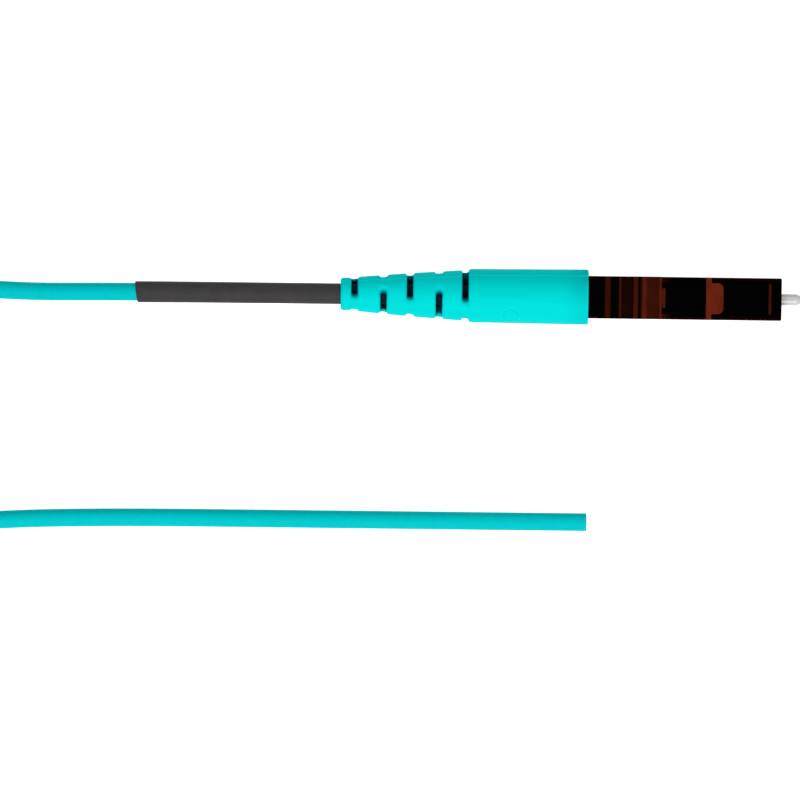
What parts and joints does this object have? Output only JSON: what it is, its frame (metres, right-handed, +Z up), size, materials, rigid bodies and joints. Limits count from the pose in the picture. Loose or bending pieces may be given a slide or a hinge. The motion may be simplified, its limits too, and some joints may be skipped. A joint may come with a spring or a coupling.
{
  "type": "lc fibre connector",
  "caption": "Simplex optical fibre plug with a sprung ceramic ferrule, latch, thumb trigger and slotted bend relief boot, on a thin pigtail cord.",
  "frame": {"origin": "on the resting surface, under the middle of the connector's length from ferrule tip to boot end", "axes": "+X along the ferrule axis towards its tip, +Z up on the latch side"},
  "size_m": [0.1191, 0.0299, 0.0089],
  "materials": {
    "ceramic": "polished zirconia ceramic",
    "plated_metal": "nickel plated, turned",
    "crimp_metal": "plain drawn",
    "spring_steel": "bright wire",
    "glass_fibre": "clear glass",
    "buffer_plastic": "smooth",
    "body_plastic": "moulded, dark red-brown, slightly translucent",
    "boot_plastic": "moulded, aqua, satin",
    "sleeve_plastic": "black heat-shrink, satin",
    "cord_jacket": "extruded, aqua, satin",
    "yarn": "fine straight filaments",
    "strap": "black hook-and-loop strap"
  },
  "bodies": {
    "housing": {"spring": "spring_steel", "plug_housing": "body_plastic", "rear_housing": "body_plastic", "backpost": "plated_metal", "aramid_yarn": "yarn", "crimp_sleeve": "crimp_metal", "boot": "boot_plastic", "heat_shrink": "sleeve_plastic", "cord_upper": "cord_jacket", "cord_coil": "cord_jacket", "cord_lower": "cord_jacket", "coil_tie": "strap"},
    "ferrule_set": {"ferrule": "ceramic", "ferrule_flange": "plated_metal", "fibre": "glass_fibre", "fibre_buffer": "buffer_plastic", "guide_tube": "buffer_plastic"},
    "latch": {"latch_arm": "body_plastic"},
    "trigger": {"trigger_arm": "body_plastic"}
  },
  "joints": [
    {"name": "trigger_press", "type": "hinge", "parent": "housing", "child": "trigger", "pos_m": [0.00323, 0, 0.00488], "axis": [0, 1, 0], "range_deg": [0, 11], "stiffness_Nm_per_rad": 0.1},
    {"name": "latch_flex", "type": "hinge", "parent": "housing", "child": "latch", "pos_m": [0.02092, 0, 0.00494], "axis": [0, -1, 0], "range_deg": [0, 6]},
    {"name": "ferrule_retract", "type": "slide", "parent": "housing", "child": "ferrule_set", "axis": [1, 0, 0], "range_m": [-0.0009, 0], "stiffness_N_per_m": 1500, "springref_m": 0.0035, "deforming": ["spring"]}
  ],
  "couplings": [
    {"joint": "latch_flex", "follows": "trigger_press", "ratio": 0.545}
  ]
}
